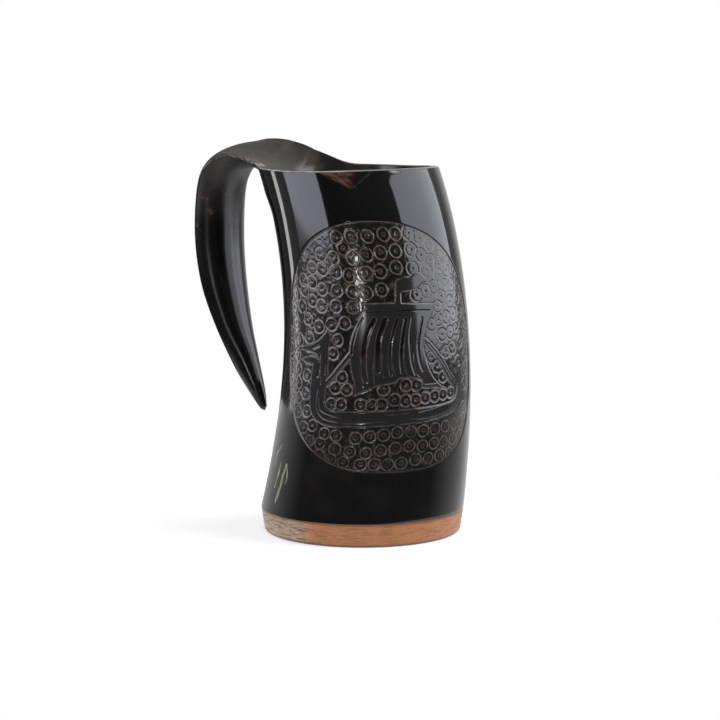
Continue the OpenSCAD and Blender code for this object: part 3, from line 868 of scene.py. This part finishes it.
def build_horn():
    """The horn as one closed skin, with the carving in its shape and painted layers."""
    angles = horn_angles()
    tops = top_z(angles)
    blocks = Blocks()
    outside = add_outside(blocks, angles, tops)
    lower, hollow = add_hollow(blocks, angles, tops)
    finger_side, open_side = add_handle(blocks)
    foot = np.concatenate([closed(hollow)[::-1], closed(lower)[::-1], closed(outside)[:1]])
    root = np.arange(STRIP_COLS + 1)
    quads = [grid_quads(closed(outside)), grid_quads(foot),
             grid_quads(np.concatenate([outside[-1:, root], finger_side])),
             grid_quads(np.concatenate([hollow[-1:, root], open_side]))[:, ::-1]]

    rim = np.arange(STRIP_COLS, len(angles) + 1) % len(angles)
    outer = along_edge(rim, finger_side, outside[-1], 0)
    inner = along_edge(rim, open_side, hollow[-1], 0)
    # Points a little way behind the edge show which way it faces
    below = along_edge(rim, finger_side, outside[-3], 1)
    edge = add_edge(blocks, angles[rim], outer, inner, below)
    quads.append(grid_quads(np.concatenate([inner[None], edge[::-1], outer[None]])))

    # The last ring of the handle is closed onto the tip
    ring = np.concatenate([finger_side[-1], edge[:, 0], open_side[-1, ::-1], edge[::-1, -1]])
    last = blocks.points[np.concatenate([finger_side[-1], open_side[-1]])]
    tip_point = last.mean(0) + GRIP_T * np.array(TIP_SHARES)
    tip = blocks.add(tip_point[None, None], blocks.layers["skin"][finger_side[-1:, :1]])[0, 0]
    tris = np.stack([ring, np.full(len(ring), tip), np.roll(ring, -1)], -1)
    return blocks.points, np.concatenate(quads), tris, blocks.layers


def new_object(name, data):
    thing = bpy.data.objects.new(name, data)
    bpy.context.scene.collection.objects.link(thing)
    return thing


def new_mesh(name, points, quads, tris):
    mesh = bpy.data.meshes.new(name)
    mesh.vertices.add(len(points))
    mesh.vertices.foreach_set("co", (points * MM).astype(np.float32).ravel())
    loops = np.concatenate([quads.ravel(), tris.ravel()])
    mesh.loops.add(len(loops))
    mesh.loops.foreach_set("vertex_index", loops.astype(np.int32))
    starts = np.concatenate([np.arange(len(quads)) * 4, quads.size + np.arange(len(tris)) * 3])
    mesh.polygons.add(len(starts))
    mesh.polygons.foreach_set("loop_start", starts.astype(np.int32))
    mesh.update(calc_edges=True)
    mesh.validate()
    mesh.polygons.foreach_set("use_smooth", np.ones(len(mesh.polygons), bool))
    return new_object(name, mesh)


def paint(mesh, name, values):
    """Stores one number, or a place of two numbers, at each point of the mesh."""
    if values.ndim == 1:
        layer = mesh.attributes.new(name, "FLOAT", "POINT")
        layer.data.foreach_set("value", values.astype(np.float32))
        return
    flat = np.concatenate([values, np.zeros((len(values), 1))], 1).astype(np.float32)
    mesh.attributes.new(name, "FLOAT_VECTOR", "POINT").data.foreach_set("vector", flat.ravel())


class Nodes:
    """A short way to write the node tree of a material or of the world."""

    def __init__(self, block, shader="Principled BSDF"):
        block.use_nodes = True
        self.block = block
        self.tree = block.node_tree
        self.shader = self.tree.nodes[shader]

    def set(self, target, value):
        if isinstance(value, bpy.types.NodeSocket):
            self.tree.links.new(value, target)
        elif value is not None:
            target.default_value = value

    def add(self, kind, out=0, inputs=(), **settings):
        node = self.tree.nodes.new("ShaderNode" + kind)
        for key, value in settings.items():
            setattr(node, key, value)
        for key, value in dict(inputs).items():
            self.set(node.inputs[key], value)
        return node.outputs[out]

    def attribute(self, name, out="Fac"):
        return self.add("Attribute", out, attribute_name=name)

    def noise(self, vector, fine, detail=3, roughness=0.55):
        if isinstance(fine, tuple):
            vector = self.add("Mapping", inputs={"Vector": vector, "Scale": fine})
            fine = 1.0
        return self.add("TexNoise", "Fac", {"Vector": vector, "Scale": fine, "Detail": detail,
                                            "Roughness": roughness})

    def axis(self, vector, number):
        return self.add("SeparateXYZ", number, {0: vector})

    def math(self, kind, a, b, clamp=False):
        return self.add("Math", inputs={0: a, 1: b}, operation=kind, use_clamp=clamp)

    def times(self, a, b):
        return self.math("MULTIPLY", a, b)

    def ramp(self, value, low, high, to_low=0.0, to_high=1.0):
        return self.add("MapRange", inputs={"Value": value, "From Min": low, "From Max": high,
                                            "To Min": to_low, "To Max": to_high})

    def mix(self, factor, a, b):
        node = self.tree.nodes.new("ShaderNodeMix")
        node.data_type = "RGBA"
        for number, value in ((0, factor), (6, a), (7, b)):
            self.set(node.inputs[number], value)
        return node.outputs[2]

    def any_ray(self, *kinds):
        """1 where a ray of one of these kinds sees the surface, otherwise 0."""
        path = self.tree.nodes.new("ShaderNodeLightPath")
        seen = path.outputs[kinds[0]]
        for kind in kinds[1:]:
            seen = self.math("MAXIMUM", seen, path.outputs[kind])
        return seen

    def bump(self, height, strength, distance, normal=None):
        return self.add("Bump", inputs={"Height": height, "Strength": strength,
                                        "Distance": distance, "Normal": normal})

    def feed(self, **sockets):
        for key, value in sockets.items():
            self.set(self.shader.inputs[key.replace("_", " ")], value)
        return self.block


def new_nodes(name):
    return Nodes(bpy.data.materials.new(name))


BLACK_HORN = (0.0030, 0.0026, 0.0028, 1)
BROWN_HORN = (0.012, 0.009, 0.006, 1)
OLIVE_HORN = (0.050, 0.038, 0.029, 1)
SPOT_BROWN = (0.11, 0.060, 0.030, 1)
# Colours that cover the horn where it is painted with a layer, in this order
LAYER_COLOURS = (
    ("ground", (0.0052, 0.0042, 0.0040, 1)),
    ("scuffed", (0.014, 0.0132, 0.0134, 1)),
    ("pale", (0.36, 0.33, 0.20, 1)),
    ("worn", (0.42, 0.40, 0.38, 1)),
    ("red", (0.085, 0.038, 0.028, 1)),
    # The residue colour also paints a glint along the reddish patch's edge; low on the panel it is
    # dimmed as painted shade
    ("residue", (0.37, 0.275, 0.225, 1)),
)
CUT_DARK = (0.016, 0.012, 0.010, 1)
CUT_PALE = (0.15, 0.125, 0.105, 1)
CORNER_PALE = (0.46, 0.33, 0.27, 1)

# Noises in the horn: how fine each is, or how fine along each axis, then its detail and its
# roughness if they differ from most
HORN_NOISE = {
    "cloud": (28,),
    "band": ((110, 70, 60),),
    "spots": (230, 3, 0.6),
    "grit": (1100,),
    "polish": (60, 4),
    "scratches": (1400,),
}
FIBRE_NOISE = ((0.9, 0.05, 1), 4)
# Levels of a noise from which something starts and at which it is full
BROWN_LEVELS = (0.58, 0.8)
BAND_LEVELS = (0.44, 0.62)
BAND_OLIVE = (0.2, 0.95)
SPOT_LEVELS = (0.60, 0.70)
SPOT_SHARE = 0.7
CUT_LEVELS = (0.44, 0.62)
CORNER_LEVELS = (0.3, 0.6)
POLISH_LEVELS = (0.3, 0.8)
# Places in metres between which the handle, its spots and its bend start
HANDLE_FROM = (-0.040, -0.058)
SPOTS_FROM = (0.118, 0.130)
BEND_FROM = (0.126, 0.150)
BEND_OLIVE = 0.4
# The foot's left side, in millimetres on the skin: down from here, and left of here
FOOT_FROM = (70, 44)
FOOT_LEFT = (-28, -40)

# Roughness of polished horn, and what is added where it is duller
POLISH = (0.05, 0.09)
FOOT_DULL = 0.22
HANDLE_DULL = 0.14
BEND_DULL = 0.26
LAYER_DULL = (("ground", 0.08), ("scuffed", 0.07), ("residue", 0.4), ("red", 0.25), ("cut", 0.45),
              ("inside", 0.14))
# Bumps: how much the scratches show on the ground and the cut edge, strengths and depths
SCRATCHES_ON = (("ground", 0.25), ("cut", 0.9))
SCRATCH_BUMP = (0.5, 0.00012)
FIBRE_BUMP = (0.04, 0.0002)
# How strongly the horn reflects. The cut ground keeps a film that gleams more than the
# polished skin, and the handle gleams less
HORN_IOR = 1.54
HORN_GLEAM = 0.5
GROUND_GLEAM = 0.6
HANDLE_GLEAM = 0.34


def horn_material():
    n = new_nodes("horn")
    place = n.add("TexCoord", "Object")
    skin_at = n.attribute("skin", "Vector")
    on = {name: n.attribute(name) for name in LAYERS}
    noise = {name: n.noise(place, *values) for name, values in HORN_NOISE.items()}
    height = n.axis(place, 2)
    handle = n.ramp(n.axis(place, 0), *HANDLE_FROM)
    bend = n.times(handle, n.ramp(height, *BEND_FROM))

    colour = n.mix(n.ramp(noise["cloud"], *BROWN_LEVELS), BLACK_HORN, BROWN_HORN)
    # The hollow and the handle's open side are olive brown, with a darker band across
    olive = n.times(on["inside"], n.ramp(noise["band"], *BAND_LEVELS, *BAND_OLIVE))
    colour = n.mix(olive, colour, OLIVE_HORN)
    # A few brown patches at the top of the handle, and browner horn at the top of its bend
    spot = n.times(handle, n.ramp(noise["spots"], *SPOT_LEVELS, 0, SPOT_SHARE))
    colour = n.mix(n.times(spot, n.ramp(height, *SPOTS_FROM)), colour, SPOT_BROWN)
    colour = n.mix(n.times(bend, BEND_OLIVE), colour, OLIVE_HORN)
    for name, layer_colour in LAYER_COLOURS:
        colour = n.mix(on[name], colour, layer_colour)
    edge_colour = n.mix(n.ramp(noise["grit"], *CUT_LEVELS), CUT_DARK, CUT_PALE)
    colour = n.mix(on["cut"], colour, edge_colour)
    chipped = n.times(on["corner"], n.ramp(noise["grit"], *CORNER_LEVELS))
    colour = n.mix(chipped, colour, CORNER_PALE)

    rough = n.ramp(noise["polish"], *POLISH_LEVELS, *POLISH)
    foot = n.times(n.ramp(n.axis(skin_at, 1), *FOOT_FROM), n.ramp(n.axis(skin_at, 0), *FOOT_LEFT))
    dull = n.math("MAXIMUM", n.times(foot, FOOT_DULL), n.times(handle, HANDLE_DULL))
    rough = n.math("ADD", rough, n.math("ADD", dull, n.times(bend, BEND_DULL)))
    for name, amount in LAYER_DULL:
        rough = n.math("ADD", rough, n.times(on[name], amount), clamp=True)

    scratched = [n.times(on[name], amount) for name, amount in SCRATCHES_ON]
    scratches = n.times(noise["scratches"], n.math("ADD", *scratched))
    normal = n.bump(scratches, *SCRATCH_BUMP)
    normal = n.bump(n.noise(skin_at, *FIBRE_NOISE), *FIBRE_BUMP, normal)
    gleam = n.math("MINIMUM", n.ramp(on["ground"], 0, 1, HORN_GLEAM, GROUND_GLEAM),
                   n.ramp(handle, 0, 1, GROUND_GLEAM, HANDLE_GLEAM))
    return n.feed(Base_Color=colour, Roughness=rough, Normal=normal, IOR=HORN_IOR,
                  Specular_IOR_Level=gleam)


WOOD_TAN = (0.345, 0.262, 0.172, 1)
WOOD_ORANGE = (0.37, 0.128, 0.034, 1)
WOOD_DARK = (0.105, 0.048, 0.022, 1)
WOOD_NOISE = {
    "fibres": ((190, 90, 1700), 3, 0.6),
    "bands": ((120, 14, 330),),
    "pores": ((1100, 260, 1900), 2),
}
# The grain runs along the camera's direction, turned by this many degrees
GRAIN_TURN = 8
# Where the end grain starts, across the grain in metres, and how far it turns orange
END_GRAIN_FROM = (-0.0215, -0.0145)
END_GRAIN_ORANGE = 0.85
BAND_ORANGE = (0.4, 0.75, 0.0, 0.14)
# Dark fibres, weaker on the end grain, and dark pores
FIBRE_LEVELS = (0.50, 0.60)
FIBRE_DARK = (0.85, 0.4)
PORE_LEVELS = (0.60, 0.68)
PORE_DARK = 0.6
# Painted shade: the wood darkens just below the seam under the horn and at the foot where it
# meets the floor: where it starts and is full, in metres from there, and how dark it is
SEAM_SHADE = (0.0012, 0.0006)
FOOT_SHADE = (0.0015, 0.0006)
SHADE_DARK = 0.7
WOOD_IOR = 1.45
WOOD_BUMP = (0.25, 0.0002)
WOOD_ROUGH = (0.3, 0.7, 0.38, 0.55)


def wood_material():
    """Wood whose grain points at the camera's side: long dark pores beside, specks in front."""
    n = new_nodes("wood")
    place = n.add("TexCoord", "Object")
    turned = n.add("Mapping", inputs={
        "Vector": place, "Rotation": (0, 0, math.radians(GRAIN_TURN - CAMERA_AZIMUTH))})
    noise = {name: n.noise(turned, *values) for name, values in WOOD_NOISE.items()}
    height = n.axis(place, 2)
    end_grain = n.ramp(n.axis(turned, 0), *END_GRAIN_FROM)
    colour = n.mix(n.ramp(noise["bands"], *BAND_ORANGE), WOOD_TAN, WOOD_ORANGE)
    colour = n.mix(n.times(end_grain, END_GRAIN_ORANGE), colour, WOOD_ORANGE)
    streak = n.times(n.ramp(noise["fibres"], *FIBRE_LEVELS), n.ramp(end_grain, 0, 1, *FIBRE_DARK))
    colour = n.mix(streak, colour, WOOD_DARK)
    colour = n.mix(n.times(n.ramp(noise["pores"], *PORE_LEVELS), PORE_DARK), colour, WOOD_DARK)
    top = BASE_TOP * MM
    # Painted shade: darker wood just under the horn and at the bottom of the foot
    painted_shade = n.math("MAXIMUM", n.ramp(height, top - SEAM_SHADE[0], top - SEAM_SHADE[1]),
                  n.ramp(height, *FOOT_SHADE))
    colour = n.mix(n.times(painted_shade, SHADE_DARK), colour, WOOD_DARK)
    normal = n.bump(n.math("ADD", noise["fibres"], noise["pores"]), *WOOD_BUMP)
    rough = n.ramp(noise["fibres"], *WOOD_ROUGH)
    return n.feed(Base_Color=colour, Roughness=rough, Normal=normal, IOR=WOOD_IOR)


RESIN_DARK = (0.16, 0.095, 0.04, 1)
RESIN_LIGHT = (0.34, 0.23, 0.11, 1)
RESIN_CLOUD = (45, 4)
RESIN_RIPPLE = (90, 2)
RESIN_LEVELS = (0.35, 0.7)
RESIN_ROUGH = (0.3, 0.7, 0.12, 0.25)
RESIN_BUMP = (0.2, 0.0004)
RESIN_IOR = 1.5


def resin_material():
    n = new_nodes("resin")
    place = n.add("TexCoord", "Object")
    cloud = n.noise(place, *RESIN_CLOUD)
    colour = n.mix(n.ramp(cloud, *RESIN_LEVELS), RESIN_DARK, RESIN_LIGHT)
    ripple = n.bump(n.noise(place, *RESIN_RIPPLE), *RESIN_BUMP)
    rough = n.ramp(cloud, *RESIN_ROUGH)
    return n.feed(Base_Color=colour, Roughness=rough, Normal=ripple, IOR=RESIN_IOR)


def dress_node(name, material):
    """Gives a carried-over CAD piece its material."""
    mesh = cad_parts[name].data
    mesh.materials.clear()
    mesh.materials.append(material)


# The studio: distances in metres from the cup, directions in degrees from the camera's,
# positive to the right as the camera sees it. The camera looks at a point, and its focal
# length is given in pixels of its frame
CAMERA_REACH = 0.960
CAMERA_H = 0.197
AIM = (-0.00134, 0.0, 0.0719)
FOCAL_PIXELS = 2297
FRAME_PIXELS = 720
SENSOR = 36.0

# Lamps: name, direction, reach, height, width, height of the panel, radiance, how far it is
# turned about its own axis in degrees, and colour. Each stands upright and faces the cup's
# axis, but one above this level looks down, at this height
LAMP_LEVEL = 0.6
AIM_ABOVE = 0.12
LAMPS = (
    ("softbox_left", -72, 0.85, 0.40, 0.82, 0.62, 3.4, 9, (0.93, 0.95, 1.08)),
    ("softbox_right", 87, 0.85, 0.405, 1.235, 0.73, 2.9, 0, (0.93, 0.98, 1.07)),
    ("softbox_above", 85, 0.517, 0.877, 0.48, 0.54, 3.4, 0, (0.96, 0.98, 1.04)),
    ("strip", -118.0, 0.85, 0.10, 0.115, 0.50, 3.6, 0, (1, 1, 1)),
    ("small_lamp", -16, 0.95, 0.165, 0.07, 0.05, 54.0, 0, (1, 1, 1)),
)
# A glow in the gap behind the handle, turned outward, that only the handle reflects
GAP_GLOW = ("gap_glow", -143, 0.042, 0.102, 0.027, 0.076, 2.3, 0, (0.96, 0.98, 1.04))

# A dome round the studio, seen only in reflections. Its brightness goes by direction, and
# turns into the ceiling's from a height in degrees on, over the degrees that come second
DOME_REACH = 1.35
DOME_MIDDLE = 0.08
DOME_LEVELS = (-38, 89)
DOME_STEP = 3
DOME_GLOW = ((-180, 0.30), (-172, 0.10), (-122, 0.10), (-118, 0.30), (-97, 0.28), (-90, 0.06),
             (94, 0.06), (102, 0.33), (136, 0.36), (148, 0.75), (172, 0.75), (180, 0.30))
CEILING_FROM = (14, 16)
CEILING_GLOW = ((-180, 0.9), (-150, 0.8), (-110, 0.32), (-20, 0.14), (30, 0.12), (100, 0.32),
                (150, 0.8), (180, 0.9))

# A low card that stands round the cup's front, also seen only in reflections
CARD_REACH = 0.060
CARD_SPAN = (-140, 140)
CARD_H = (0.001, 0.052)
CARD_GLOW = ((-140, 1.0), (-112, 0.90), (-90, 0.70), (-70, 0.40), (-50, 0.10), (50, 0.10),
             (68, 0.50), (100, 0.95), (140, 0.80))

WHITE = (1, 1, 1, 1)
FLOOR_GREY = (0.85, 0.85, 0.85, 1)
FLOOR_R = 0.20
FLOOR_CORNERS = 96
FLOOR_ROUGH = 0.9
FLOOR_GLOW = 0.35
WORLD_LEVEL = 0.55


def beside(direction, reach, height):
    a = math.radians(CAMERA_AZIMUTH + direction)
    return Vector((math.sin(a) * reach, -math.cos(a) * reach, height))


def add_camera():
    data = bpy.data.cameras.new("camera")
    data.sensor_width = SENSOR
    data.lens = SENSOR * FOCAL_PIXELS / FRAME_PIXELS
    camera = new_object("camera", data)
    camera.location = beside(0, CAMERA_REACH, CAMERA_H)
    camera.rotation_euler = (Vector(AIM) - camera.location).to_track_quat("-Z", "Y").to_euler()
    bpy.context.scene.camera = camera


def add_world():
    """White where the camera, a reflection or a clear piece sees it, and a soft fill elsewhere."""
    n = Nodes(bpy.data.worlds.new("world"), "Background")
    seen = n.any_ray("Is Camera Ray", "Is Glossy Ray", "Is Transmission Ray")
    bpy.context.scene.world = n.feed(Color=WHITE, Strength=n.ramp(seen, 0, 1, WORLD_LEVEL, 1))


def add_floor():
    """A pale floor: it takes the cup's shadow, and shows white to the camera."""
    turns = [2 * math.pi * corner / FLOOR_CORNERS for corner in range(FLOOR_CORNERS)]
    ring = [(FLOOR_R * math.cos(turn), FLOOR_R * math.sin(turn), 0) for turn in turns]
    mesh = bpy.data.meshes.new("floor")
    mesh.from_pydata(ring, [], [tuple(range(FLOOR_CORNERS))])
    n = new_nodes("floor")
    glow = n.times(n.any_ray("Is Camera Ray", "Is Glossy Ray"), FLOOR_GLOW)
    mesh.materials.append(n.feed(
        Base_Color=FLOOR_GREY, Roughness=FLOOR_ROUGH, Specular_IOR_Level=0, Emission_Color=WHITE,
        Emission_Strength=glow))
    floor = new_object("floor", mesh)


def by_direction(table, direction):
    return np.interp(direction, [row[0] for row in table], [row[1] for row in table])


def add_screen(name, rows, glow):
    """A sheet that only reflections show, with a brightness at each of its points."""
    points = [tuple(point) for row in rows for point in row]
    index = np.arange(len(points)).reshape(len(rows), len(rows[0]))
    mesh = bpy.data.meshes.new(name)
    mesh.from_pydata(points, [], grid_quads(index).tolist())
    paint(mesh, "glow", np.array(glow, float).ravel())
    n = new_nodes(name)
    light = n.add("Emission", inputs={"Color": WHITE, "Strength": n.attribute("glow")})
    n.set(n.tree.nodes["Material Output"].inputs["Surface"], light)
    n.tree.nodes.remove(n.shader)
    mesh.materials.append(n.block)
    screen = new_object(name, mesh)
    screen.visible_camera = False
    screen.visible_shadow = False
    screen.visible_diffuse = False


def add_dome():
    directions = np.arange(-180, 180 + DOME_STEP, DOME_STEP)
    rows, glow = [], []
    for level in np.arange(*DOME_LEVELS, DOME_STEP):
        a = math.radians(level)
        reach, height = DOME_REACH * math.cos(a), DOME_MIDDLE + DOME_REACH * math.sin(a)
        rows.append([beside(direction, reach, height) for direction in directions])
        high = fade(level, *CEILING_FROM)
        glow.append(mix(by_direction(DOME_GLOW, directions),
                        by_direction(CEILING_GLOW, directions), high))
    add_screen("dome", rows, glow)


def add_card():
    directions = np.arange(CARD_SPAN[0], CARD_SPAN[1] + DOME_STEP, DOME_STEP)
    rows = [[beside(direction, CARD_REACH, z) for direction in directions] for z in CARD_H]
    add_screen("card", rows, [by_direction(CARD_GLOW, directions)] * 2)


def add_area(name, direction, reach, height, width, tall, radiance, turn, colour):
    """A flat lamp of the given radiance that faces the cup."""
    data = bpy.data.lights.new(name, "AREA")
    data.shape = "RECTANGLE"
    data.size = width
    data.size_y = tall
    data.color = colour
    data.energy = radiance * math.pi * width * tall
    lamp = new_object(name, data)
    lamp.location = beside(direction, reach, height)
    aim = height if height < LAMP_LEVEL else AIM_ABOVE
    facing = (Vector((0, 0, aim)) - lamp.location).to_track_quat("-Z", "Y")
    lamp.rotation_euler = (facing @ Quaternion((0, 0, 1), math.radians(turn))).to_euler()
    return lamp


def add_studio():
    add_camera()
    add_world()
    add_floor()
    add_dome()
    add_card()
    for lamp in LAMPS:
        add_area(*lamp)
    glow = add_area(*GAP_GLOW)
    glow.rotation_euler.rotate_axis("Y", math.pi)
    glow.visible_camera = False
    glow.visible_diffuse = False
    bpy.context.scene.view_settings.view_transform = "Standard"


def add_horn():
    points, quads, tris, layers = build_horn()
    horn = new_mesh("horn_shell", points, quads, tris)
    for name, values in layers.items():
        paint(horn.data, name, values)
    horn.data.materials.append(horn_material())
    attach(horn, "root")
    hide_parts("horn_body")


add_horn()
dress_node("wood_base", wood_material())
dress_node("resin_seal", resin_material())
add_studio()
